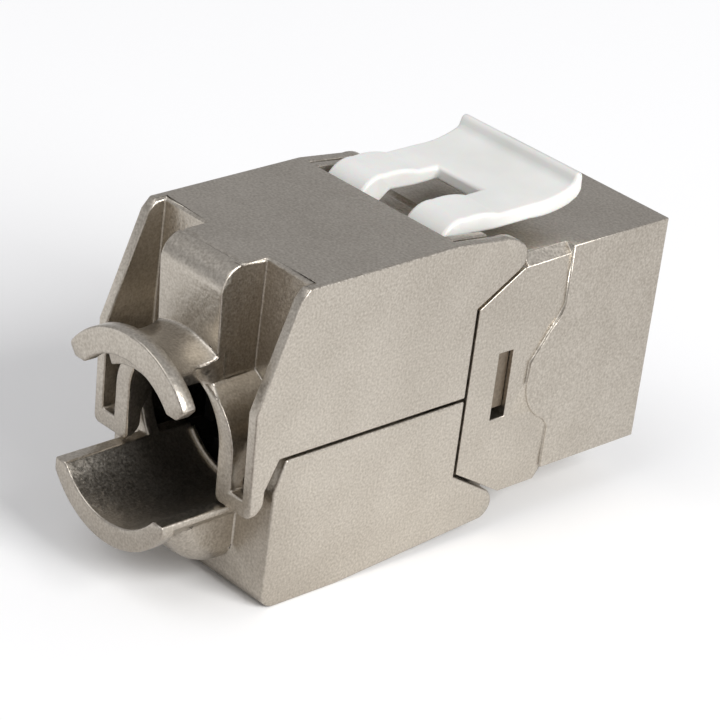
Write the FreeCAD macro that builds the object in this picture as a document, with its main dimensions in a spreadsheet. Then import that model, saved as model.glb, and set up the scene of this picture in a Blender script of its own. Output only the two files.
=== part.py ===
import FreeCAD, Part
import os
import re
import Sketcher
from FreeCAD import Rotation, Vector
from math import atan2, pi

# Shielded toolless keystone jack, modelled closed and standing on its lower cover.
# X runs across the jack, Y from the plug face (-) to the cable end (+), Z up.
# X = 0 is the plane of symmetry, Y = 0 lies halfway between the plug face and the
# cable end, and Z = 0 is the lowest part of the underside.

doc = FreeCAD.newDocument("keystone_jack")
sheet = doc.addObject("Spreadsheet::Sheet", "Sizes")

SIZES = {
    # keystone box at the front of the die-cast housing
    "box_width": 14.8,
    "box_wall": 1.0,
    "box_bottom": 3.3,
    "box_top": 18.75,
    "face_front": -18.85,
    "step_front": -10.4,
    "bulge_rear": -7.95,
    "bulge_top": 13.6,
    "bulge_bottom": 6.9,
    "plate_step": 0.2,
    "body_half": "box_width / 2 - plate_step",
    "core_half": "body_half - 0.9",
    "plate_rear": -2.93,
    "plate_shoulder": 0.65,
    "plate_foot": 2.5,
    "foot_front": -10.05,
    "rear_cavity_half": "body_half - 1.6",
    "cavity_step": -6.85,
    "cavity_floor": 4.4,
    "cavity_roof": "box_top - 1.35",
    "tongue_rear": 0.75,
    "tongue_half": "body_half - 1.9",
    "slot_front": -6.5,
    "slot_rear": -5.25,
    "slot_bottom": 7.95,
    "slot_top": 12.55,
    "lug_front": -15.55,
    "lug_length": 2.6,
    "lug_drop": 1.1,
    "lug_half": 4.0,
    # hinges of the two covers
    "hinge_y": -5.4,
    "upper_hinge_z": 18.95,
    "lower_hinge_z": 1.95,
    "lobe_radius": 1.05,
    "seam": 0.2,
    "seam_angle": 30,
    "pin_radius": 0.4,
    "pin_fit": 0.05,
    "pin_inner": "body_half - 1.7",
    "pin_outer": "body_half - 0.25",
    "ear_inner": "body_half - 1.8",
    "ear_radius": 0.9,
    # upper cover
    "cover_top": 20.93,
    "cover_wall": 0.75,
    "cover_roof": 0.9,
    "roof_front": -0.45,
    "prong_front": -3.65,
    "wall_in": "body_half - cover_wall",
    "prong_half": "wall_in - 0.8",
    "slit": 0.2,
    "split": 10.05,
    "roof_rear": 10.85,
    "top_rear": 11.8,
    "heel_rear": 14.5,
    "heel_z": 13.6,
    "leg_rear": 14.3,
    "leg_depth": 1.15,
    "leg_bottom": 6.6,
    "leg_floor": 1.1,
    "block_half": 2.75,
    "block_rear": 14.15,
    "block_foot": 13.75,
    "cable_z": 10.0,
    "cable_radius": 4.1,
    "arch_wall": 1.25,
    "neck_top": 15.6,
    "yoke_rear": 18.35,
    "yoke_thick": 1.05,
    "yoke_radius": 6.3,
    "yoke_top": 16.6,
    "yoke_inner": 4.9,
    "yoke_half": 5.1,
    "yoke_low": 13.15,
    # lower cover
    "lower_rear": 12.45,
    "lower_wall": 0.95,
    "lower_floor": 0.9,
    "corner_z": 8.0,
    "corner_y": 11.7,
    "underside_front": 6.35,
    "trough_rear": 18.85,
    "trough_thick": 1.05,
    "trough_front": 9.05,
    "trough_inner": 5.2,
    "trough_axis": 9.7,
    "trough_outer": 6.0,
    "trough_centre": 9.05,
    "trough_rim": 6.45,
    "trough_half": 4.95,
    "trough_shell": 0.35,
    "bowl_half": 4.2,
    "bowl_axis": 6.15,
    "bowl_curve": 4.3,
    "bowl_round": 1.3,
    # white snap latch on top of the box
    "latch_half": "box_width / 2 - 2.2",
    "latch_rear": -0.75,
    "latch_lip": 22.25,
    "latch_front": -12.7,
    "latch_hump": 21.35,
    "latch_back": 21.0,
    "latch_thick": 1.0,
    "window_half": "latch_half - 3.3",
    "window_front": -7.25,
    "foot_length": 1.5,
    "foot_depth": 0.9,
    "foot_gap": 0.2,
    # plug socket, contacts, board and terminals
    "insert_gap": 0.08,
    "insert_front": -18.65,
    "insert_wall": 0.47,
    "insert_half": "box_width / 2 - box_wall - insert_gap",
    "plug_half": "insert_half - insert_wall",
    "plug_bottom": 7.9,
    "plug_top": "cavity_roof - 2.8",
    "plug_depth": 10.6,
    "tab_half": 3.1,
    "tab_drop": 1.4,
    "key_half": 1.7,
    "key_drop": 2.5,
    "hook_half": "body_half - 0.45",
    "hook_gap": 0.25,
    "comb_top": "plug_top + 1.7",
    "contact_pitch": 1.02,
    "contact_width": 0.5,
    "contact_thick": 0.3,
    "contact_front": -16.85,
    "contact_tip_y": -10.85,
    "contact_tip_z": "plug_top - 2.1",
    "board_front": -5.05,
    "board_thick": 1.2,
    "board_half": "rear_cavity_half - 0.2",
    "board_gap": 0.3,
    "block_width": 10.6,
    "terminal_rear": 6.95,
    "terminal_top": 14.3,
    "terminal_bottom": 5.7,
    "terminal_pitch": 2.6,
    "terminal_y": 1.35,
    "terminal_step": 2.6,
    "fork_width": 1.7,
    "fork_thick": 0.4,
    "fork_height": "(terminal_top - terminal_bottom) / 2 - 0.7",
    "fork_slot": 0.35,
    "groove_width": 1.1,
    "groove_depth": 1.6,
    "tail_width": 0.5,
    "presser_gap": 0.25,
    "presser_half": "wall_in - 0.55",
    "presser_front": 1.45,
    "presser_rear": 7.75,
    "spring_thick": 0.2,
    "spring_height": 2.4,
    "spring_front": 1.6,
    "spring_length": 5.4,
    "spring_bulge": 0.65,
}
for row, alias in enumerate(SIZES, start=1):
    sheet.set("A%d" % row, alias)
    sheet.setAlias("B%d" % row, alias)
for row, value in enumerate(SIZES.values(), start=1):
    sheet.set("B%d" % row, "=%s" % value if isinstance(value, str) else str(value))
doc.recompute()

ALIAS = re.compile(r"\b(%s)\b" % "|".join(sorted(SIZES, key=len, reverse=True)))


def bound(text):
    """Turn sheet names in an expression into references to the sheet."""
    return ALIAS.sub(r"Sizes.\1", str(text))


def number(text):
    """Present value of an expression, used to place the sketch before it is solved."""
    value = sheet.evalExpression(bound(text))
    return float(getattr(value, "Value", value))


def new_body(label):
    body = doc.addObject("PartDesign::Body", label)
    body.Label = label
    return body


PLANES = {"XY": ("XY_Plane", 1), "XZ": ("XZ_Plane", -1), "YZ": ("YZ_Plane", 1)}


def outline(body, plane, level, corners, rise="0"):
    """Closed sketch on an origin plane, moved along the plane's axis to level.

    A corner is (u, v) or (u, v, radius, side): the last two make the stretch to the
    next corner an arc with its centre on the left (+1) or right (-1) of the chord.
    rise lifts the sketch's origin within its plane.
    """
    role, sign = PLANES[plane]
    sketch = body.newObject("Sketcher::SketchObject", body.Label + "_outline")
    origin = [item for item in body.Origin.OriginFeatures if item.Role == role][0]
    sketch.AttachmentSupport = [(origin, "")]
    sketch.MapMode = "FlatFace"
    sketch.setExpression("AttachmentOffset.Base.z", "%d * (%s)" % (sign, bound(level)))
    sketch.setExpression("AttachmentOffset.Base.y", bound(rise))
    points = [Vector(number(corner[0]), number(corner[1]), 0) for corner in corners]
    count = len(corners)
    for index, corner in enumerate(corners):
        start = points[index]
        end = points[(index + 1) % count]
        if len(corner) == 2:
            sketch.addGeometry(Part.LineSegment(start, end), False)
        else:
            radius = number(corner[2])
            chord = end - start
            half = chord.Length / 2
            rise = (radius ** 2 - half ** 2) ** 0.5
            left = Vector(-chord.y, chord.x, 0).normalize()
            centre = start + chord / 2 + left * rise * corner[3]
            circle = Part.Circle(centre, Vector(0, 0, 1), radius)
            angles = sorted_angles(centre, start, end, corner[3])
            sketch.addGeometry(Part.ArcOfCircle(circle, angles[0], angles[1]), False)
    ends = []
    for index, corner in enumerate(corners):
        forward = len(corner) == 2 or corner[3] > 0
        ends.append((1, 2) if forward else (2, 1))
    for index in range(count):
        following = (index + 1) % count
        sketch.addConstraint(Sketcher.Constraint(
            "Coincident", index, ends[index][1], following, ends[following][0]))
    for index, corner in enumerate(corners):
        for kind, text in (("DistanceX", corner[0]), ("DistanceY", corner[1])):
            place = sketch.addConstraint(Sketcher.Constraint(
                kind, -1, 1, index, ends[index][0], number(text)))
            sketch.setExpression("Constraints[%d]" % place, bound(text))
        if len(corner) == 4:
            place = sketch.addConstraint(Sketcher.Constraint(
                "Radius", index, number(corner[2])))
            sketch.setExpression("Constraints[%d]" % place, bound(corner[2]))
    return sketch


def sorted_angles(centre, start, end, side):
    """Start and end angle of an arc, counterclockwise about a centre on the left."""
    first = atan2(start.y - centre.y, start.x - centre.x)
    last = atan2(end.y - centre.y, end.x - centre.x)
    if side < 0:
        first, last = last, first
    if last < first:
        last += 2 * pi
    return first, last


def pad(body, plane, low, high, corners):
    """Add the outline between two levels of the plane's axis."""
    sketch = outline(body, plane, low, corners)
    feature = body.newObject("PartDesign::Pad", body.Label + "_pad")
    feature.Profile = sketch
    feature.Reversed = plane == "XZ"
    feature.setExpression("Length", bound("(%s) - (%s)" % (high, low)))
    sketch.Visibility = False
    return feature


def pocket(body, plane, low, high, corners):
    """Cut the outline away between two levels of the plane's axis."""
    sketch = outline(body, plane, low, corners)
    feature = body.newObject("PartDesign::Pocket", body.Label + "_pocket")
    feature.Profile = sketch
    feature.Reversed = plane != "XZ"
    feature.setExpression("Length", bound("(%s) - (%s)" % (high, low)))
    sketch.Visibility = False
    return feature


def box(body, kind, x, y, z):
    """Add or cut a box given by its low and high values on each axis."""
    feature = body.newObject("PartDesign::%sBox" % kind, body.Label + "_box")
    for axis, size, (low, high) in zip("xyz", ("Length", "Width", "Height"), (x, y, z)):
        feature.setExpression(size, bound("(%s) - (%s)" % (high, low)))
        feature.setExpression("Placement.Base." + axis, bound(low))
    return feature


def rod(body, kind, axis, radius, low, high, first, second):
    """Add or cut a cylinder along X or Y between two levels of that axis."""
    feature = body.newObject("PartDesign::%sCylinder" % kind, body.Label + "_rod")
    if axis == "x":
        feature.Placement.Rotation = Rotation(Vector(0, 1, 0), 90)
        places = (low, first, second)
    else:
        feature.Placement.Rotation = Rotation(Vector(1, 0, 0), -90)
        places = (first, low, second)
    feature.setExpression("Radius", bound(radius))
    feature.setExpression("Height", bound("(%s) - (%s)" % (high, low)))
    for letter, text in zip("xyz", places):
        feature.setExpression("Placement.Base." + letter, bound(text))
    return feature


def both_sides(low, high):
    """The same span on the left and on the right of the plane of symmetry."""
    return (("-(%s)" % high, "-(%s)" % low), (low, high))


BODY_HALF = "body_half"
BOX_HALF = "box_width / 2"
# Seam lines that the covers share with the side plates of the housing
UPPER_SEAM = ("upper_hinge_z - ({0}) / cos(seam_angle)"
              " - (({1}) - hinge_y) * tan(seam_angle)")
LOWER_SEAM = ("lower_hinge_z + ({0}) / cos(seam_angle)"
              " + (({1}) - hinge_y) * tan(seam_angle)")
PLATE_GAP = "lobe_radius + seam"
SIDE_FRONT = "plate_rear + seam"

# Front housing: one zinc casting. The keystone box stands a little proud of the two
# side plates, and an S-shaped step joins them.
housing = new_body("front_housing")
box(housing, "Additive", ("-core_half", "core_half"), ("face_front", "plate_rear"),
    ("box_bottom", "box_top"))
pad(housing, "YZ", "-(%s)" % BOX_HALF, BOX_HALF, [
    ("face_front", "box_bottom"),
    ("step_front", "box_bottom"),
    ("step_front", "bulge_bottom - 0.6"),
    ("step_front + 0.5", "bulge_bottom", "3.3", 1),
    ("bulge_rear", "bulge_bottom + 3.1"),
    ("bulge_rear - 0.1", "bulge_top - 2.3"),
    ("bulge_rear - 1.6", "bulge_top - 0.2", "2.4", -1),
    ("step_front - 0.05", "bulge_top + 1.2"),
    ("step_front", "box_top"),
    ("face_front", "box_top")])
lobe_front = "hinge_y - lobe_radius - seam"
pad(housing, "YZ", "-(%s)" % BODY_HALF, BODY_HALF, [
    ("foot_front - 0.6", "box_bottom"),
    ("foot_front", "plate_foot"),
    ("hinge_y - (lower_hinge_z + (%s) / cos(seam_angle) - plate_foot)"
     " / tan(seam_angle)" % PLATE_GAP, "plate_foot"),
    ("plate_rear", LOWER_SEAM.format(PLATE_GAP, "plate_rear")),
    ("plate_rear", UPPER_SEAM.format(PLATE_GAP, "plate_rear")),
    ("hinge_y + (upper_hinge_z - (%s) / cos(seam_angle)"
     " - box_top + plate_shoulder) / tan(seam_angle)" % PLATE_GAP,
     "box_top - plate_shoulder"),
    (lobe_front, "box_top - plate_shoulder"),
    (lobe_front, "box_top"),
    ("step_front - 0.5", "box_top")])
# The top edge of the plates slopes in to the roof of the box
for side in (-1, 1):
    pocket(housing, "XZ", "step_front", "plate_rear", [
        ("%d * (%s)" % (side, BODY_HALF), "box_top - plate_shoulder"),
        ("%d * (%s + 0.2)" % (side, BODY_HALF), "box_top - plate_shoulder"),
        ("%d * (%s + 0.2)" % (side, BODY_HALF), "box_top + 0.1"),
        ("%d * (%s - plate_shoulder + 0.1)" % (side, BODY_HALF), "box_top + 0.1"),
        ("%d * (%s - plate_shoulder)" % (side, BODY_HALF), "box_top")])
# Ears inside the cover lugs carry the four hinge pins
for hinge, foot in (("upper_hinge_z", "box_top - 1.2"),
                    ("lower_hinge_z", "box_bottom + 1.2")):
    for low, high in both_sides("ear_inner", "core_half"):
        rod(housing, "Additive", "x", "ear_radius", low, high, "hinge_y", hinge)
        ends = (foot, hinge) if hinge == "upper_hinge_z" else (hinge, foot)
        box(housing, "Additive", (low, high),
            ("hinge_y - ear_radius", "hinge_y + ear_radius"), ends)
# A tongue of the roof runs back under the upper cover and holds the snap latch
box(housing, "Additive", ("-tongue_half", "tongue_half"),
    ("plate_rear - 1", "tongue_rear"), ("cavity_roof", "box_top"))
# Fixed keystone lug under the box, with a sloping front
pad(housing, "YZ", "-lug_half", "lug_half", [
    ("lug_front", "box_bottom + 0.3"),
    ("lug_front", "box_bottom - lug_drop"),
    ("lug_front + lug_length * 0.5", "box_bottom - lug_drop"),
    ("lug_front + lug_length", "box_bottom + 0.3")])
# Inside: a wide cavity for the socket insert, a narrower one for board and terminals
box(housing, "Subtractive",
    ("box_wall - %s" % BOX_HALF, "%s - box_wall" % BOX_HALF),
    ("face_front - 1", "cavity_step"), ("cavity_floor", "cavity_roof"))
box(housing, "Subtractive", ("-rear_cavity_half", "rear_cavity_half"),
    ("cavity_step - 1", "plate_rear + 1"), ("cavity_floor", "cavity_roof"))
box(housing, "Subtractive", ("-(%s) - 1" % BOX_HALF, "%s + 1" % BOX_HALF),
    ("slot_front", "slot_rear"), ("slot_bottom", "slot_top"))
# Pin holes through the ears, and the two sockets of the latch feet
for hinge in ("upper_hinge_z", "lower_hinge_z"):
    rod(housing, "Subtractive", "x", "pin_radius", "-core_half - 0.2",
        "core_half + 0.2", "hinge_y", hinge)
for low, high in both_sides("window_half - foot_gap", "latch_half + foot_gap"):
    box(housing, "Subtractive", (low, high),
        ("latch_rear - foot_length - foot_gap", "latch_rear + foot_gap"),
        ("box_top - foot_depth - foot_gap", "box_top + 1"))

# Hinge pins: short steel rods pressed into the ears; the lugs of the covers turn on them
for hinge, name in (("upper_hinge_z", "upper"), ("lower_hinge_z", "lower")):
    for side, span in zip(("left", "right"), both_sides("pin_inner", "pin_outer")):
        pin = new_body("%s_%s_hinge_pin" % (side, name))
        rod(pin, "Additive", "x", "pin_radius", span[0], span[1], "hinge_y", hinge)

# Upper cover: one zinc casting with side walls, a raised centre block and a cable yoke
WALL_IN = "wall_in"
cover = new_body("upper_cover")
pad(cover, "YZ", "-(%s)" % BODY_HALF, BODY_HALF, [
    (SIDE_FRONT, "split + seam / 2"),
    ("leg_rear - leg_depth - 0.9", "split + seam / 2"),
    ("leg_rear - leg_depth", "corner_z + 0.3"),
    ("leg_rear - leg_depth", "leg_bottom + 0.4"),
    ("leg_rear - leg_depth + 0.4", "leg_bottom"),
    ("leg_rear - 0.1", "leg_bottom"),
    ("heel_rear", "heel_z"),
    ("top_rear + 0.25", "cover_top - 0.65"),
    ("top_rear - 0.35", "cover_top"),
    ("roof_front", "cover_top"),
    ("hinge_y + 1.35", "upper_hinge_z + lobe_radius + 0.5", "2.2", 1),
    ("hinge_y - lobe_radius * sin(20)", "upper_hinge_z + lobe_radius * cos(20)",
     "lobe_radius", 1),
    ("hinge_y - lobe_radius * sin(seam_angle)",
     "upper_hinge_z - lobe_radius * cos(seam_angle)"),
    (SIDE_FRONT, UPPER_SEAM.format("lobe_radius", SIDE_FRONT))])
pad(cover, "YZ", "-block_half", "block_half", [
    ("roof_rear - 0.9", "cable_z + cable_radius - 0.3"),
    ("block_foot", "cable_z + cable_radius - 0.3"),
    ("block_rear", "cover_top - 1.6", "1.6", 1),
    ("block_rear - 1.6", "cover_top"),
    ("roof_rear - 0.9", "cover_top")])
# Inner space over the terminals, open towards the housing; only the lugs, the two
# prongs beside them and the roof reach further forward
box(cover, "Subtractive", ("-(%s)" % WALL_IN, WALL_IN),
    ("hinge_y - 3", "roof_rear - cover_roof"), ("split - 1", "cover_top - cover_roof"))
box(cover, "Subtractive", ("-prong_half", "prong_half"),
    ("hinge_y - 3", "roof_front"), ("split - 1", "cover_top + 1"))
box(cover, "Subtractive", ("-(%s)" % WALL_IN, WALL_IN),
    ("hinge_y - 3", "prong_front"), ("split - 1", "cover_top + 1"))
for low, high in both_sides("%s - slit" % WALL_IN, WALL_IN):
    box(cover, "Subtractive", (low, high), ("hinge_y - 3", "roof_front"),
        ("split - 1", "cover_top + 1"))
# Deep pockets between the centre block and the side walls, open to the rear
ARCH = "(cable_radius + arch_wall)"
for side in (-1, 1):
    pocket(cover, "XZ", "roof_rear", "heel_rear + 1", [
        ("%d * block_half" % side, "cover_top + 1"),
        ("%d * block_half" % side, "cable_z + sqrt(%s ^ 2 - block_half ^ 2)" % ARCH,
         ARCH, -side),
        ("%d * %s" % (side, ARCH), "cable_z"),
        ("%d * %s" % (side, ARCH), "leg_bottom + leg_floor"),
        ("%d * (%s)" % (side, WALL_IN), "leg_bottom + leg_floor"),
        ("%d * (%s)" % (side, WALL_IN), "cover_top + 1")])
# Saddle-shaped neck over the cable, turned about the cable axis
waist = outline(cover, "YZ", "0", [
    ("block_foot - 0.5", "cable_radius - 0.3"),
    ("yoke_rear - yoke_thick + 0.3", "cable_radius - 0.3"),
    ("yoke_rear - yoke_thick + 0.3", "yoke_top - cable_z - 0.1", "4.2", -1),
    ("block_foot - 0.5", "neck_top - cable_z + 0.55")], "cable_z")
neck = cover.newObject("PartDesign::Revolution", "neck")
neck.Profile = waist
neck.ReferenceAxis = (waist, ["H_Axis"])
neck.Angle = 64
neck.Midplane = True
# Yoke: the upper half of the collar that closes round the cable
pad(cover, "XZ", "yoke_rear - yoke_thick", "yoke_rear", [
    ("-sqrt(yoke_inner ^ 2 - (yoke_low - cable_z) ^ 2)", "yoke_low", "yoke_inner", -1),
    ("sqrt(yoke_inner ^ 2 - (yoke_low - cable_z) ^ 2)", "yoke_low"),
    ("yoke_half - 0.5", "yoke_low"),
    ("yoke_half", "yoke_low + 0.6"),
    ("yoke_half", "yoke_top - yoke_radius + sqrt(yoke_radius ^ 2 - yoke_half ^ 2)",
     "yoke_radius", 1),
    ("-yoke_half", "yoke_top - yoke_radius + sqrt(yoke_radius ^ 2 - yoke_half ^ 2)"),
    ("-yoke_half", "yoke_low + 0.6"),
    ("0.5 - yoke_half", "yoke_low")])
pocket(cover, "XZ", "roof_rear - 3", "yoke_rear + 1", [
    ("-cable_radius", "leg_bottom - 1"),
    ("cable_radius", "leg_bottom - 1"),
    ("cable_radius", "cable_z", "cable_radius", 1),
    ("0", "cable_z + cable_radius", "cable_radius", 1),
    ("-cable_radius", "cable_z")])
for low, high in both_sides("pin_inner - 1", "pin_outer + 0.05"):
    rod(cover, "Subtractive", "x", "pin_radius + pin_fit", low, high,
        "hinge_y", "upper_hinge_z")

# Lower cover: the second hinged casting, with the half-round trough for the cable
# Its bowl, with well rounded lower edges, comes first and carries the trough
lower = new_body("lower_cover")
bowl = pad(lower, "YZ", "-bowl_half", "bowl_half", [
    ("lower_rear - 0.4", "bowl_axis - sqrt(bowl_curve ^ 2"
     " - (trough_rear - 1.6 - bowl_curve - lower_rear + 0.4) ^ 2)", "bowl_curve", 1),
    ("trough_rear - 1.6", "bowl_axis"),
    ("trough_rear - 1.6", "trough_axis"),
    ("lower_rear - 0.4", "trough_axis")])
doc.recompute()
round_edges = []
for order, edge in enumerate(bowl.Shape.Edges, start=1):
    if edge.Curve.TypeId == "Part::GeomCircle":
        round_edges.append("Edge%d" % order)
bowl_edges = lower.newObject("PartDesign::Fillet", "bowl_edges")
bowl_edges.Base = (bowl, round_edges)
bowl_edges.setExpression("Radius", bound("bowl_round"))
bowl.Visibility = False
pad(lower, "YZ", "-(%s)" % BODY_HALF, BODY_HALF, [
    ("hinge_y", "lower_hinge_z - lobe_radius"),
    ("underside_front", "0"),
    ("lower_rear - 1.1", "0", "1.1", 1),
    ("lower_rear", "1.1"),
    ("lower_rear", "corner_z"),
    ("corner_y", "split - seam / 2"),
    (SIDE_FRONT, "split - seam / 2"),
    (SIDE_FRONT, LOWER_SEAM.format("lobe_radius", SIDE_FRONT)),
    ("hinge_y - lobe_radius * sin(seam_angle)",
     "lower_hinge_z + lobe_radius * cos(seam_angle)", "lobe_radius", 1)])
box(lower, "Subtractive", ("-(%s)" % WALL_IN, WALL_IN),
    ("hinge_y - 3", "roof_front"), ("-1", "split + 1"))
box(lower, "Subtractive", ("-(%s)" % WALL_IN, WALL_IN),
    ("hinge_y - 3", "lower_rear - lower_wall"), ("lower_floor", "split + 1"))
# Trough and the collar at its end
RIM_IN = "sqrt(trough_inner ^ 2 - (trough_axis - trough_rim) ^ 2)"
RIM_OUT = "sqrt(({0}) ^ 2 - (trough_centre - trough_rim) ^ 2)"
for front, rear, radius in (
        ("trough_front", "trough_rear - 0.5", "trough_outer - trough_shell"),
        ("trough_rear - trough_thick", "trough_rear", "trough_outer")):
    rim_out = RIM_OUT.format(radius)
    pad(lower, "XZ", front, rear, [
        ("-%s" % RIM_IN, "trough_rim", "trough_inner", 1),
        (RIM_IN, "trough_rim"),
        (rim_out, "trough_rim", radius, -1),
        ("-%s" % rim_out, "trough_rim")])
rod(lower, "Subtractive", "y", "trough_inner", "trough_front - 0.5", "trough_rear + 1",
    "0", "trough_axis")
# The rim is level, and both ends of the collar are cut upright
box(lower, "Subtractive", ("-trough_outer - 1", "trough_outer + 1"),
    ("lower_rear", "trough_rear + 1"), ("trough_rim", "trough_axis + 1"))
for low, high in both_sides("trough_half", "trough_outer + 1"):
    box(lower, "Subtractive", (low, high), ("lower_rear", "trough_rear + 1"),
        ("0", "trough_axis + 1"))
for low, high in both_sides("pin_inner - 1", "pin_outer + 0.05"):
    rod(lower, "Subtractive", "x", "pin_radius + pin_fit", low, high,
        "hinge_y", "lower_hinge_z")

# Snap latch: white plastic, two humped arms on feet and a plate up to the release lip
latch = new_body("keystone_latch")
pad(latch, "YZ", "-latch_half", "latch_half", [
    ("latch_rear", "box_top - foot_depth"),
    ("latch_rear", "latch_hump - 1.1", "1.9", 1),
    ("latch_rear - 2.1", "latch_hump", "7", 1),
    ("latch_rear - 5", "latch_back"),
    ("latch_front + 4.2", "latch_back", "8", -1),
    ("latch_front + 0.75", "latch_back + 0.5"),
    ("latch_front + 0.5", "latch_lip"),
    ("latch_front", "latch_lip"),
    ("latch_front - 0.1", "latch_lip - 1.2"),
    ("latch_front + 0.2", "latch_back - 0.4"),
    ("latch_front + 0.9", "latch_back - latch_thick + 0.25", "8", 1),
    ("latch_front + 4.2", "latch_back - latch_thick"),
    ("latch_rear - 4.6", "latch_back - latch_thick"),
    ("latch_rear - 2.6", "latch_hump - latch_thick - 0.2"),
    ("latch_rear - foot_length", "latch_hump - latch_thick - 1"),
    ("latch_rear - foot_length", "box_top - foot_depth")])
box(latch, "Subtractive", ("-window_half", "window_half"),
    ("window_front", "latch_rear + 1"), ("box_top - 2", "latch_lip + 1"))

# Plug socket insert: black plastic block with the plug cavity and side hooks
insert = new_body("socket_insert")
INSERT_HALF = "insert_half"
box(insert, "Additive", ("-(%s)" % INSERT_HALF, INSERT_HALF),
    ("insert_front", "cavity_step - 0.1"),
    ("cavity_floor + insert_gap", "cavity_roof - insert_gap"))
for low, high in both_sides("rear_cavity_half - 0.8", "rear_cavity_half - insert_gap"):
    box(insert, "Additive", (low, high), ("cavity_step - 0.4", "board_front"),
        ("slot_bottom + 0.8", "slot_top - hook_gap"))
for low, high in both_sides("rear_cavity_half - 0.5", "hook_half"):
    box(insert, "Additive", (low, high),
        ("slot_front + hook_gap", "slot_rear - hook_gap"),
        ("slot_bottom + 0.8", "slot_top - hook_gap"))
PLUG_REAR = "insert_front + plug_depth"
box(insert, "Subtractive", ("-plug_half", "plug_half"), ("insert_front - 1", PLUG_REAR),
    ("plug_bottom", "plug_top"))
box(insert, "Subtractive", ("-tab_half", "tab_half"), ("insert_front - 1", PLUG_REAR),
    ("plug_bottom - tab_drop", "plug_top"))
box(insert, "Subtractive", ("-key_half", "key_half"), ("insert_front - 1", PLUG_REAR),
    ("plug_bottom - key_drop", "plug_top"))
box(insert, "Subtractive", ("-4 * contact_pitch - 0.1", "4 * contact_pitch + 0.1"),
    ("contact_front - 0.4", "cavity_step + 1"), ("plug_top - 0.1", "comb_top"))
for low, high in both_sides("plug_half - 0.5", "%s + 0.5" % INSERT_HALF):
    box(insert, "Subtractive", (low, high), ("insert_front + spring_front - 0.2",
         "insert_front + spring_front + spring_length + 0.4"),
        ("plug_bottom + 2", "plug_bottom + 2.4 + spring_height"))

# Eight sprung plug contacts, side by side along the roof of the cavity
for index in range(8):
    contact = new_body("spring_contact_%d" % (index + 1))
    centre = "%.1f * contact_pitch" % (index - 3.5)
    pad(contact, "YZ", "%s - contact_width / 2" % centre,
        "%s + contact_width / 2" % centre, [
            ("board_front", "comb_top"),
            ("contact_front + 0.3", "comb_top"),
            ("contact_front", "comb_top - 0.3"),
            ("contact_front", "comb_top - 0.7"),
            ("contact_tip_y", "contact_tip_z - contact_thick"),
            ("contact_tip_y", "contact_tip_z"),
            ("contact_front + 0.5", "comb_top - contact_thick - 0.3"),
            ("contact_front + 0.7", "comb_top - contact_thick"),
            ("board_front", "comb_top - contact_thick")])

# Shield springs: bent strips on the side walls that touch the plug's own shield
WALL = "(box_width / 2 - box_wall)"
for side, name in ((-1, "left"), (1, "right")):
    spring = new_body("%s_shield_spring" % name)
    edge = []
    for depth, share in ((0, 0), (0, 0.13), (1, 0.5), (0, 0.87), (0, 1)):
        edge.append(("%d * spring_bulge" % depth,
                     "spring_front + %.2f * spring_length" % share))
    corners = [("%d * (%s - %s)" % (side, WALL, depth), "insert_front + %s" % place)
               for depth, place in edge]
    corners += [("%d * (%s - %s - spring_thick)" % (side, WALL, depth),
                 "insert_front + %s" % place) for depth, place in reversed(edge)]
    pad(spring, "XY", "plug_bottom + 2.2", "plug_bottom + 2.2 + spring_height", corners)

# Circuit board between the plug contacts and the terminals
board = new_body("circuit_board")
BOARD_REAR = "board_front + board_thick"
box(board, "Additive", ("-board_half", "board_half"), ("board_front", BOARD_REAR),
    ("cavity_floor + board_gap", "cavity_roof - board_gap"))

# Terminal block: plastic carrier with four wire grooves on top and four underneath
carrier = new_body("terminal_block")
box(carrier, "Additive", ("-board_half", "board_half"),
    (BOARD_REAR, "%s + 1.3" % BOARD_REAR),
    ("cavity_floor + board_gap", "cavity_roof - board_gap"))
box(carrier, "Additive", ("-block_width / 2", "block_width / 2"),
    (BOARD_REAR, "terminal_rear"), ("terminal_bottom", "terminal_top"))


def span(upper, near, far):
    """Heights measured down from the top or up from the bottom of the carrier."""
    if upper:
        return "terminal_top - (%s)" % far, "terminal_top - (%s)" % near
    return "terminal_bottom + %s" % near, "terminal_bottom + %s" % far


places = [(upper, number_in_row) for upper in (True, False) for number_in_row in range(4)]
for upper, spot in places:
    middle = "%.1f * terminal_pitch" % (spot - 1.5)
    front = "terminal_y + %d * terminal_step" % (spot % 2)
    box(carrier, "Subtractive",
        ("%s - groove_width / 2" % middle, "%s + groove_width / 2" % middle),
        ("%s + 2" % BOARD_REAR, "terminal_rear + 1"), span(upper, "-1", "groove_depth"))
    box(carrier, "Subtractive",
        ("%s - fork_width / 2 - 0.03" % middle, "%s + fork_width / 2 + 0.03" % middle),
        ("%s - 0.03" % front, "%s + fork_thick + 0.03" % front),
        span(upper, "-1", "fork_height + 0.3"))
    box(carrier, "Subtractive",
        ("%s - tail_width / 2 - 0.03" % middle, "%s + tail_width / 2 + 0.03" % middle),
        ("%s - 0.5" % BOARD_REAR, "%s + fork_thick" % front),
        span(upper, "fork_height + 0.3 - tail_width - 0.05", "fork_height + 0.3"))

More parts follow.
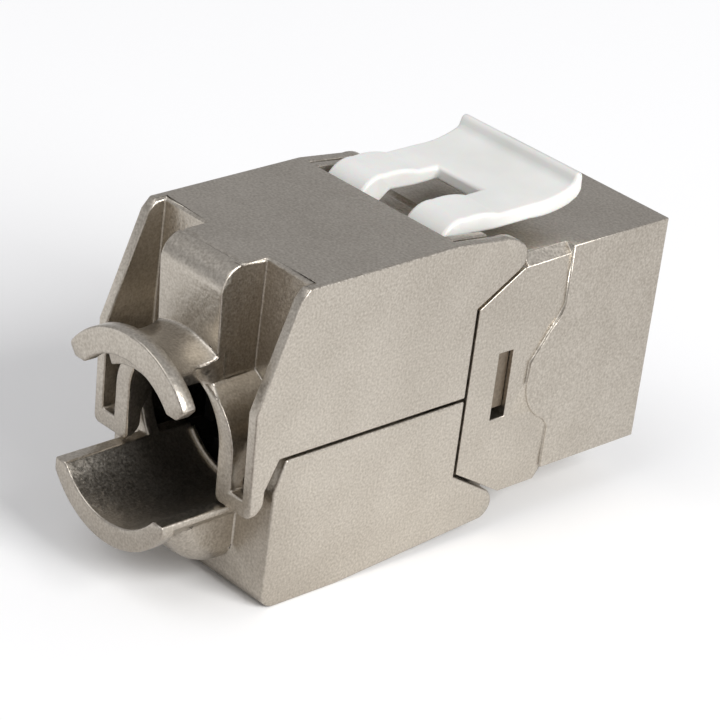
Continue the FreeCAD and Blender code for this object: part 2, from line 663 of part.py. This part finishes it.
# Insulation-displacement terminals: a slotted fork with a tail to the board
for order, (upper, spot) in enumerate(places, start=1):
    terminal = new_body("idc_terminal_%d" % order)
    middle = "%.1f * terminal_pitch" % (spot - 1.5)
    front = "terminal_y + %d * terminal_step" % (spot % 2)
    box(terminal, "Additive",
        ("%s - fork_width / 2" % middle, "%s + fork_width / 2" % middle),
        (front, "%s + fork_thick" % front), span(upper, "0.3", "fork_height + 0.3"))
    box(terminal, "Subtractive",
        ("%s - fork_slot / 2" % middle, "%s + fork_slot / 2" % middle),
        ("%s - 1" % front, "%s + 1" % front), span(upper, "-1", "fork_height - 1"))
    box(terminal, "Additive",
        ("%s - tail_width / 2" % middle, "%s + tail_width / 2" % middle),
        (BOARD_REAR, "%s + fork_thick" % front),
        span(upper, "fork_height + 0.3 - tail_width", "fork_height + 0.3"))

# Wire pressers: grooved plastic pads inside the covers that push the wires home
for name, upper in (("upper", True), ("lower", False)):
    presser = new_body("%s_wire_presser" % name)
    if upper:
        heights = ("terminal_top + presser_gap", "cover_top - cover_roof")
    else:
        heights = ("lower_floor", "terminal_bottom - presser_gap")
    box(presser, "Additive", ("-presser_half", "presser_half"),
        ("presser_front", "presser_rear"), heights)
    for spot in range(4):
        middle = "%.1f * terminal_pitch" % (spot - 1.5)
        depth = (("terminal_top", "terminal_top + 0.9") if upper
                 else ("terminal_bottom - 0.9", "terminal_bottom"))
        box(presser, "Subtractive",
            ("%s - groove_width / 2" % middle, "%s + groove_width / 2" % middle),
            ("presser_front - 1", "presser_rear + 1"), depth)

doc.recompute()
faults = []
for item in doc.Objects:
    if "Invalid" in item.State or "Error" in item.State:
        faults.append("%s: %s" % (item.Name, item.getStatusString()))
bodies = [item for item in doc.Objects if item.TypeId == "PartDesign::Body"]
for body in bodies:
    shape = body.Shape
    if shape.isNull() or not shape.isValid() or len(shape.Solids) != 1:
        faults.append("%s: %d solids" % (body.Label, len(shape.Solids)))
if faults:
    raise RuntimeError("; ".join(faults))
os.makedirs("parts", exist_ok=True)
for body in bodies:
    body.Shape.exportStep("parts/%s.step" % body.Label)
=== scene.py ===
import bmesh
import bpy
from math import cos, radians, sin
from mathutils import Matrix, Vector


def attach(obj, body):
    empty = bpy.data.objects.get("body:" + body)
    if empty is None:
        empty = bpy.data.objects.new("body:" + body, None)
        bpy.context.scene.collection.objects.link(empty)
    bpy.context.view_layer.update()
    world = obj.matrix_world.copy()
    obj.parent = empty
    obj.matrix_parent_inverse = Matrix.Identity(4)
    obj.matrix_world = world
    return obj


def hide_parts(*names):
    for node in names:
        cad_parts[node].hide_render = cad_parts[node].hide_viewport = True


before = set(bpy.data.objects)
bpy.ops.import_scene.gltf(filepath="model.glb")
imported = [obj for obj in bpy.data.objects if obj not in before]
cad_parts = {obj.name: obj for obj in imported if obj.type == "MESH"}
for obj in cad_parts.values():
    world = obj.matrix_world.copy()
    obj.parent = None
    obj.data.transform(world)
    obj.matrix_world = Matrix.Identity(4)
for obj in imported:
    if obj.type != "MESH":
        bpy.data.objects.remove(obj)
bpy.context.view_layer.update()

# The three castings: front housing with the keystone box, upper cover and lower cover.
# Pressure die-cast zinc with a satin nickel plating. The edges come out of the mould
# softly rounded, and the plating leaves a fine grain that makes the gloss uneven.
MM = 0.001
CLOUD_MM = 3.5
WAVE_MM = 0.55
SMOOTH_ANGLE = radians(40)
SHARP_ANGLE = radians(28)


def linear(code):
    """Turn an sRGB hex value into the linear colour that a shader reads."""
    parts = [int(code[place:place + 2], 16) / 255 for place in (1, 3, 5)]
    return [part / 12.92 if part <= 0.04045 else ((part + 0.055) / 1.055) ** 2.4
            for part in parts] + [1.0]


def add_node(tree, kind, settings=None, links=None):
    """Add a node, set its sockets or properties, and link sockets to other nodes."""
    node = tree.nodes.new(kind)
    for name, value in (settings or {}).items():
        if isinstance(name, int) or name in node.inputs:
            node.inputs[name].default_value = value
        else:
            setattr(node, name, value)
    for name, (source, output) in (links or {}).items():
        tree.links.new(source.outputs[output], node.inputs[name])
    return node


def new_material(name):
    """Material with an empty tree; gives the tree and its output node."""
    material = bpy.data.materials.new(name)
    material.use_nodes = True
    tree = material.node_tree
    tree.nodes.clear()
    return material, tree, tree.nodes.new("ShaderNodeOutputMaterial")


def satin_plating(name, dark, light, grain_mm, roughness):
    """Plated metal: a fine grain in tone and gloss over the slight waves of the casting.
    The plating's own grain is too fine to show, so it is drawn coarser."""
    material, tree, output = new_material(name)
    place = add_node(tree, "ShaderNodeTexCoord")
    clouds = add_node(tree, "ShaderNodeTexNoise",
                      {"Scale": 1 / (CLOUD_MM * MM), "Detail": 2.0},
                      {"Vector": (place, "Object")})
    grain = add_node(tree, "ShaderNodeTexNoise",
                     {"Scale": 1 / (grain_mm * MM), "Detail": 2.0},
                     {"Vector": (place, "Object")})
    blend = add_node(tree, "ShaderNodeMath", {"operation": "MULTIPLY_ADD", 1: 4.0},
                     {0: (grain, "Fac"), 2: (clouds, "Fac")})
    tone = add_node(tree, "ShaderNodeMapRange",
                    {"From Min": 1.5, "From Max": 3.5}, {"Value": (blend, "Value")})
    colour = add_node(tree, "ShaderNodeValToRGB", None, {"Fac": (tone, "Result")})
    colour.color_ramp.elements[0].color = linear(dark)
    colour.color_ramp.elements[1].color = linear(light)
    gloss = add_node(tree, "ShaderNodeMapRange",
                     {"From Min": 0.3, "From Max": 0.7, "To Min": roughness - 0.05,
                      "To Max": roughness + 0.05}, {"Value": (grain, "Fac")})
    wave = add_node(tree, "ShaderNodeTexNoise",
                    {"Scale": 1 / (WAVE_MM * MM), "Detail": 1.0},
                    {"Vector": (place, "Object")})
    swell = add_node(tree, "ShaderNodeBump",
                     {"Strength": 0.38, "Distance": 0.06 * MM},
                     {"Height": (wave, "Fac")})
    relief = add_node(tree, "ShaderNodeBump",
                      {"Strength": 0.28, "Distance": 0.04 * MM},
                      {"Height": (grain, "Fac"), "Normal": (swell, "Normal")})
    shader = add_node(tree, "ShaderNodeBsdfPrincipled", {"Metallic": 1.0},
                      {"Base Color": (colour, "Color"), "Roughness": (gloss, "Result"),
                       "Normal": (relief, "Normal")})
    tree.links.new(shader.outputs["BSDF"], output.inputs["Surface"])
    return material


STEP_Y = -10.4
STEP_TOP_Z = 18.0
NEAR = 0.02


def at_step_top(edge):
    """True for the short edges where the sloping plate top runs into the keystone box."""
    return all(abs(vertex.co.y - STEP_Y * MM) < NEAR * MM and vertex.co.z > STEP_TOP_Z * MM
               for vertex in edge.verts)


def round_edges(work, edges, width_mm, segments):
    """Round the given edges by a width in millimetres."""
    bmesh.ops.bevel(work, geom=edges, offset=width_mm * MM, offset_type="OFFSET",
                    segments=segments, profile=0.5, affect="EDGES", clamp_overlap=False,
                    loop_slide=True, material=-1)


def new_piece(name, work, material):
    """Turn a finished bmesh into an object of the scene with one material."""
    mesh = bpy.data.meshes.new(name)
    work.to_mesh(mesh)
    work.free()
    mesh.materials.append(material)
    piece = bpy.data.objects.new(name, mesh)
    bpy.context.scene.collection.objects.link(piece)
    return piece


def softened_copy(node, name, width_mm, segments=2, hollows=True, reshape=None):
    """Copy a CAD node with its sharp edges rounded, also the hollow ones if asked."""
    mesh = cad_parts[node].data.copy()
    mesh.name = name
    piece = bpy.data.objects.new(name, mesh)
    bpy.context.scene.collection.objects.link(piece)
    work = bmesh.new()
    work.from_mesh(mesh)
    bmesh.ops.remove_doubles(work, verts=work.verts, dist=0.001 * MM)
    bmesh.ops.dissolve_limit(work, angle_limit=radians(0.5), verts=work.verts,
                             edges=work.edges, delimit=set())
    if reshape:
        reshape(work)
    sharp = [edge for edge in work.edges if edge.is_manifold
             and edge.calc_face_angle(0) > SHARP_ANGLE
             and (hollows or edge.is_convex) and not at_step_top(edge)]
    round_edges(work, sharp, width_mm, segments)
    bmesh.ops.triangulate(work, faces=[face for face in work.faces if len(face.verts) > 4])
    for face in work.faces:
        face.smooth = True
    work.to_mesh(mesh)
    work.free()
    mesh.set_sharp_from_angle(angle=SMOOTH_ANGLE)
    weighted = piece.modifiers.new("even_shading", "WEIGHTED_NORMAL")
    weighted.keep_sharp = True
    return piece


def dress(piece, material, body, node):
    """Give a piece its material and body, and let it stand for its CAD node."""
    piece.data.materials.clear()
    piece.data.materials.append(material)
    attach(piece, body)
    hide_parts(node)


CABLE_Z = 10.0
ARCH_REACH = 5.35
ARCH_SINK = 0.82
BLOCK_HALF = 2.75
NECK_OUTER = 3.6
NECK_FRONT = 13.0
NECK_REAR = 15.5
NECK_LOW = 4.3
NECK_HIGH = 6.4
POCKET_TOP_Z = 20.9
FOOT_Z = 7.05


def at_pocket_rim(end):
    """True for a point in millimetres on the upper rim of one of the two pockets."""
    return end.z > POCKET_TOP_Z and 10.8 < end.y < 12.6 and 2.7 < abs(end.x) < 6.5


def finish_upper_cover(work):
    """Sink the arch between block and side walls, keep the neck within the block's
    width where they meet, and round the rims of the pockets and the feet of the legs."""
    axis = CABLE_Z * MM
    for vertex in work.verts:
        side = 1 if vertex.co.x > 0 else -1
        across = abs(vertex.co.x) / MM
        height = vertex.co.z - axis
        reach = (vertex.co.x ** 2 + height ** 2) ** 0.5
        if height > 0.2 * MM and abs(reach - ARCH_REACH * MM) < NEAR * MM:
            vertex.co.z = axis + ARCH_SINK * height
        elif (BLOCK_HALF + 0.01 < across < NECK_OUTER
              and NECK_LOW * MM < height < NECK_HIGH * MM
              and NECK_FRONT * MM < vertex.co.y < NECK_REAR * MM):
            vertex.co.x = side * BLOCK_HALF * MM
    rims = []
    for edge in work.edges:
        ends = [vertex.co / MM for vertex in edge.verts]
        if edge.is_convex and all(at_pocket_rim(end) for end in ends):
            rims.append(edge)
    round_edges(work, rims, 0.22, 3)
    feet = []
    for edge in work.edges:
        ends = [vertex.co / MM for vertex in edge.verts]
        if edge.is_convex and all(end.z < FOOT_Z for end in ends) and (
                abs(ends[0].x - ends[1].x) < 0.01):
            feet.append(edge)
    round_edges(work, feet, 0.45, 5)


TROUGH_HALF = 4.95
RIM_LOW_Z = 6.2
RIM_HIGH_Z = 6.42
RIM_FOOT_Z = 5.95


def finish_lower_cover(work):
    """Give the rim of the trough an upright outer face."""
    for vertex in work.verts:
        if (abs(abs(vertex.co.x) - TROUGH_HALF * MM) < 0.01 * MM
                and RIM_LOW_Z * MM < vertex.co.z < RIM_HIGH_Z * MM):
            vertex.co.z = RIM_FOOT_Z * MM


NICKEL = satin_plating("satin_nickel_on_die_cast_zinc", "#AEA69A", "#D3CCC1", 0.16, 0.34)
for node, body, edge, hollows, reshape in (
        ("front_housing", "jack_body", 0.07, False, None),
        ("upper_cover", "upper_cover_body", 0.13, True, finish_upper_cover),
        ("lower_cover", "lower_cover_body", 0.13, True, finish_lower_cover)):
    casting = softened_copy(node, node + "_casting", edge, 2, hollows, reshape)
    dress(casting, NICKEL, body, node)

# Jacket stop: a low bead cast round the front end of the trough, against which the
# cable's jacket is laid. It is one with the lower cover and plated with it.
TROUGH_AXIS_Z = 9.7
BEAD_REACH = 5.15
BEAD_Y = 9.2
BEAD_HALF_ANGLE = radians(49)
BEAD_RADIUS = 0.22
trough_axis = (0, 0, TROUGH_AXIS_Z * MM)
bead = bmesh.new()
bmesh.ops.create_circle(bead, segments=12, radius=BEAD_RADIUS * MM)
bmesh.ops.rotate(bead, verts=bead.verts, matrix=Matrix.Rotation(radians(90), 3, "Y"))
bmesh.ops.translate(bead, verts=bead.verts,
                    vec=(0, BEAD_Y * MM, (TROUGH_AXIS_Z - BEAD_REACH) * MM))
bmesh.ops.rotate(bead, verts=bead.verts, cent=trough_axis,
                 matrix=Matrix.Rotation(-BEAD_HALF_ANGLE, 3, "Y"))
bmesh.ops.spin(bead, geom=list(bead.verts) + list(bead.edges), cent=trough_axis,
               axis=(0, 1, 0), angle=2 * BEAD_HALF_ANGLE, steps=28, use_duplicate=False)
bmesh.ops.holes_fill(bead, edges=[edge for edge in bead.edges if edge.is_boundary])
bmesh.ops.recalc_face_normals(bead, faces=bead.faces)
for face in bead.faces:
    face.smooth = len(face.verts) == 4
stop_bead = new_piece("jacket_stop_bead", bead, NICKEL)
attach(stop_bead, "lower_cover_body")

# The snap latch on top of the box: one injection-moulded piece of white plastic whose
# two arms bend when the lip is pressed. It is smooth and slightly translucent.


def moulded_plastic(name, colour, shade, roughness, scatter):
    """Moulded plastic: faint flow clouds, a fine skin texture and a soft gloss."""
    material, tree, output = new_material(name)
    place = add_node(tree, "ShaderNodeTexCoord")
    clouds = add_node(tree, "ShaderNodeTexNoise",
                      {"Scale": 1 / (4.0 * MM), "Detail": 2.0},
                      {"Vector": (place, "Object")})
    tone = add_node(tree, "ShaderNodeValToRGB", None, {"Fac": (clouds, "Fac")})
    tone.color_ramp.elements[0].position = 0.3
    tone.color_ramp.elements[0].color = linear(shade)
    tone.color_ramp.elements[1].position = 0.7
    tone.color_ramp.elements[1].color = linear(colour)
    skin = add_node(tree, "ShaderNodeTexNoise",
                    {"Scale": 1 / (0.12 * MM), "Detail": 1.0},
                    {"Vector": (place, "Object")})
    relief = add_node(tree, "ShaderNodeBump",
                      {"Strength": 0.12, "Distance": 0.02 * MM},
                      {"Height": (skin, "Fac")})
    gloss = add_node(tree, "ShaderNodeMapRange",
                     {"From Min": 0.3, "From Max": 0.7, "To Min": roughness - 0.04,
                      "To Max": roughness + 0.04}, {"Value": (skin, "Fac")})
    shader = add_node(tree, "ShaderNodeBsdfPrincipled",
                      {"IOR": 1.54, "Subsurface Weight": scatter,
                       "Subsurface Scale": 0.4 * MM},
                      {"Base Color": (tone, "Color"), "Roughness": (gloss, "Result"),
                       "Normal": (relief, "Normal")})
    tree.links.new(shader.outputs["BSDF"], output.inputs["Surface"])
    return material


WHITE = moulded_plastic("moulded_white_plastic", "#E8E8E5", "#DEDEDA", 0.38, 0.25)
latch = softened_copy("keystone_latch", "white_snap_latch", 0.28, segments=4)
dress(latch, WHITE, "latch_body", "keystone_latch")

# Plug socket, terminal carrier and the two wire pressers: black moulded plastic blocks
# that snap into the castings. Their skin is a fine matt spark finish.
BLACK = moulded_plastic("moulded_black_plastic", "#2E2C2A", "#262422", 0.5, 0.0)
for node, body in (("socket_insert", "jack_body"), ("terminal_block", "jack_body"),
                   ("upper_wire_presser", "upper_cover_body"),
                   ("lower_wire_presser", "lower_cover_body")):
    block = softened_copy(node, node + "_moulding", 0.06)
    dress(block, BLACK, body, node)

# Contacts, shield springs, terminals and hinge pins: stamped strip or drawn wire. The
# plug contacts are gold plated, the terminals tinned, the springs and pins bare steel.
GOLD = satin_plating("gold_plated_bronze_strip", "#C99A3E", "#E2BC62", 0.3, 0.24)
TINNED = satin_plating("tinned_bronze_strip", "#A9A8A3", "#C6C5C0", 0.3, 0.34)
STEEL = satin_plating("bare_spring_steel", "#A6A7A6", "#C2C2C0", 0.25, 0.3)
small_metal = [("spring_contact_%d" % order, GOLD) for order in range(1, 9)]
small_metal += [("idc_terminal_%d" % order, TINNED) for order in range(1, 9)]
small_metal += [("%s_shield_spring" % side, STEEL) for side in ("left", "right")]
small_metal += [("%s_%s_hinge_pin" % (side, level), STEEL)
                for side in ("left", "right") for level in ("upper", "lower")]
for node, material in small_metal:
    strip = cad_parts[node]
    strip.data.materials.clear()
    strip.data.materials.append(material)

# Ends of the two shield springs, bent over the insert's hooks in the housing's side
# slots. Their steel is coloured darker and browner than the springs' own bare steel:
# painted shade of the deep slots.
SLOT_SHADED_STEEL = satin_plating("spring_steel_with_painted_slot_shade", "#786D5F", "#8E8273", 0.2, 0.38)
END_REAR = -5.3
END_FRONT = -6.45
END_TOP = 12.5
END_BOTTOM = 8.55
END_INSIDE = 6.77
END_THICK = 0.08
for side, name in ((-1, "left_spring_end"), (1, "right_spring_end")):
    end = bmesh.new()
    bmesh.ops.create_cube(end, size=MM)
    bmesh.ops.scale(end, verts=end.verts, vec=(END_THICK, END_REAR - END_FRONT,
                                               END_TOP - END_BOTTOM))
    bmesh.ops.translate(end, verts=end.verts, vec=Vector((
        side * (END_INSIDE + END_THICK / 2), (END_REAR + END_FRONT) / 2,
        (END_TOP + END_BOTTOM) / 2)) * MM)
    round_edges(end, list(end.edges), 0.03, 2)
    spring_end = new_piece(name, end, SLOT_SHADED_STEEL)
    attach(spring_end, "jack_body")

# Circuit board between contacts and terminals: glass-fibre board under a green mask,
# with the rows of soldered pads showing as lighter dots.
mask, tree, output = new_material("green_masked_board")
place = add_node(tree, "ShaderNodeTexCoord")
weave = add_node(tree, "ShaderNodeTexNoise", {"Scale": 1 / (0.5 * MM), "Detail": 2.0},
                 {"Vector": (place, "Object")})
pads = add_node(tree, "ShaderNodeTexVoronoi", {"Scale": 1 / (1.3 * MM), "Randomness": 0.0},
                {"Vector": (place, "Object")})
pad_edge = add_node(tree, "ShaderNodeMath", {"operation": "LESS_THAN", 1: 0.28},
                    {0: (pads, "Distance")})
green = add_node(tree, "ShaderNodeValToRGB", None, {"Fac": (weave, "Fac")})
green.color_ramp.elements[0].color = linear("#14532C")
green.color_ramp.elements[1].color = linear("#1F7A41")
colour = add_node(tree, "ShaderNodeMix", {"data_type": "RGBA"})
tree.links.new(pad_edge.outputs["Value"], colour.inputs[0])
tree.links.new(green.outputs["Color"], colour.inputs[6])
colour.inputs[7].default_value = linear("#B9B7AE")
board_shader = add_node(tree, "ShaderNodeBsdfPrincipled",
                        {"Roughness": 0.35, "IOR": 1.5}, {"Base Color": (colour, 2)})
tree.links.new(board_shader.outputs["BSDF"], output.inputs["Surface"])
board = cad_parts["circuit_board"]
board.data.materials.clear()
board.data.materials.append(mask)

# Stage: a white table top that runs on behind the jack, lit by two large soft lamps. The
# camera sees table and world white. The metal mirrors a grey world and a table with dark
# brown patches of painted shade, set by trial for this view's tones. They darken the
# metal's reflections where shade falls around the jack.


def table_paint_with_painted_shade():
    """White paint to the camera, with dark brown patches of painted shade that only other
    rays see, so that they darken the metal's reflections.
    """
    material, tree, output = new_material("white_table_with_painted_shade")
    place = add_node(tree, "ShaderNodeTexCoord")
    path = add_node(tree, "ShaderNodeLightPath")
    unseen = add_node(tree, "ShaderNodeMath", {"operation": "SUBTRACT", 0: 1.0},
                      {1: (path, "Is Camera Ray")})
    painted_shade_share = None
    # Centre, reach and depth of each patch of painted shade, in millimetres.
    for x, y, near, far, depth in (
            (-36, 52, 12, 56, 1.0), (-34, -62, 16, 62, 0.3), (9, 26, 4, 34, 0.28)):
        away = add_node(tree, "ShaderNodeVectorMath",
                        {"operation": "DISTANCE", 1: (x * MM, y * MM, 0)},
                        {0: (place, "Object")})
        fade = add_node(tree, "ShaderNodeMapRange",
                        {"From Min": near * MM, "From Max": far * MM, "To Min": depth,
                         "To Max": 0.0}, {"Value": (away, "Value")})
        links = {0: (fade, "Result"), 1: (unseen, "Value")}
        if painted_shade_share is not None:
            links[2] = (painted_shade_share, "Value")
        painted_shade_share = add_node(tree, "ShaderNodeMath", {"operation": "MULTIPLY_ADD", 2: 0.0}, links)
    # Dark brown painted shade, mixed into the white where the patches lie; the camera never
    # sees it.
    painted_shade_mix = add_node(tree, "ShaderNodeMix", {"data_type": "RGBA"}, {0: (painted_shade_share, "Value")})
    painted_shade_mix.inputs[6].default_value = linear("#FCFCFC")
    painted_shade_mix.inputs[7].default_value = linear("#5A4836")
    shader = add_node(tree, "ShaderNodeBsdfPrincipled", {"Roughness": 0.9},
                      {"Base Color": (painted_shade_mix, 2)})
    tree.links.new(shader.outputs["BSDF"], output.inputs["Surface"])
    return material


TABLE_HALF_METRES = 1.5
table = bmesh.new()
bmesh.ops.create_grid(table, x_segments=1, y_segments=1, size=TABLE_HALF_METRES)
table_top = new_piece("table_top", table, table_paint_with_painted_shade())

world = bpy.data.worlds.new("studio")
bpy.context.scene.world = world
world.use_nodes = True
tree = world.node_tree
tree.nodes.clear()
path = add_node(tree, "ShaderNodeLightPath")
dim = add_node(tree, "ShaderNodeBackground", {"Color": linear("#B0B0B2")})
bright = add_node(tree, "ShaderNodeBackground", {"Color": linear("#FFFFFF")})
mixed = add_node(tree, "ShaderNodeMixShader", None, {"Fac": (path, "Is Camera Ray")})
tree.links.new(dim.outputs["Background"], mixed.inputs[1])
tree.links.new(bright.outputs["Background"], mixed.inputs[2])
add_node(tree, "ShaderNodeOutputWorld", None, {"Surface": (mixed, "Shader")})

LAMP_METRES = 1.2
centre = Vector((0, 0, CABLE_Z * MM))
for name, towards, size, power in (
        ("key_lamp", (-0.84, -0.1, 0.55), 0.7, 13.5),
        ("rear_lamp", (0.1, 0.5, 0.95), 0.8, 3.0)):
    lamp = bpy.data.lights.new(name, "AREA")
    lamp.size = size
    lamp.energy = power
    holder = bpy.data.objects.new(name, lamp)
    holder.location = centre + Vector(towards).normalized() * LAMP_METRES
    holder.rotation_euler = Vector(towards).to_track_quat("Z", "Y").to_euler()
    bpy.context.scene.collection.objects.link(holder)

# Camera: the photograph's own view, from behind, above and to the left of the jack.
AZIMUTH = radians(224.09)
ELEVATION = radians(26.65)
ROLL = radians(7.47)
DISTANCE = 207.82 * MM
TARGET = Vector((0, -0.65 * MM, 10.07 * MM))
FOCAL_PIXELS = 3382.5
FRAME_PIXELS = 720
backward = Vector((sin(AZIMUTH) * cos(ELEVATION), -cos(AZIMUTH) * cos(ELEVATION),
                   sin(ELEVATION)))
level_right = Vector((0, 0, 1)).cross(backward).normalized()
level_up = backward.cross(level_right)
right = level_right * cos(ROLL) + level_up * sin(ROLL)
upward = level_up * cos(ROLL) - level_right * sin(ROLL)
lens = bpy.data.cameras.new("camera")
lens.sensor_width = 36.0
lens.lens = lens.sensor_width * FOCAL_PIXELS / FRAME_PIXELS
lens.clip_start = 0.01
camera = bpy.data.objects.new("camera", lens)
turn = Matrix((right, upward, backward)).transposed()
camera.matrix_world = Matrix.Translation(TARGET + backward * DISTANCE) @ turn.to_4x4()
bpy.context.scene.collection.objects.link(camera)
bpy.context.scene.camera = camera
bpy.context.scene.view_settings.view_transform = "Standard"
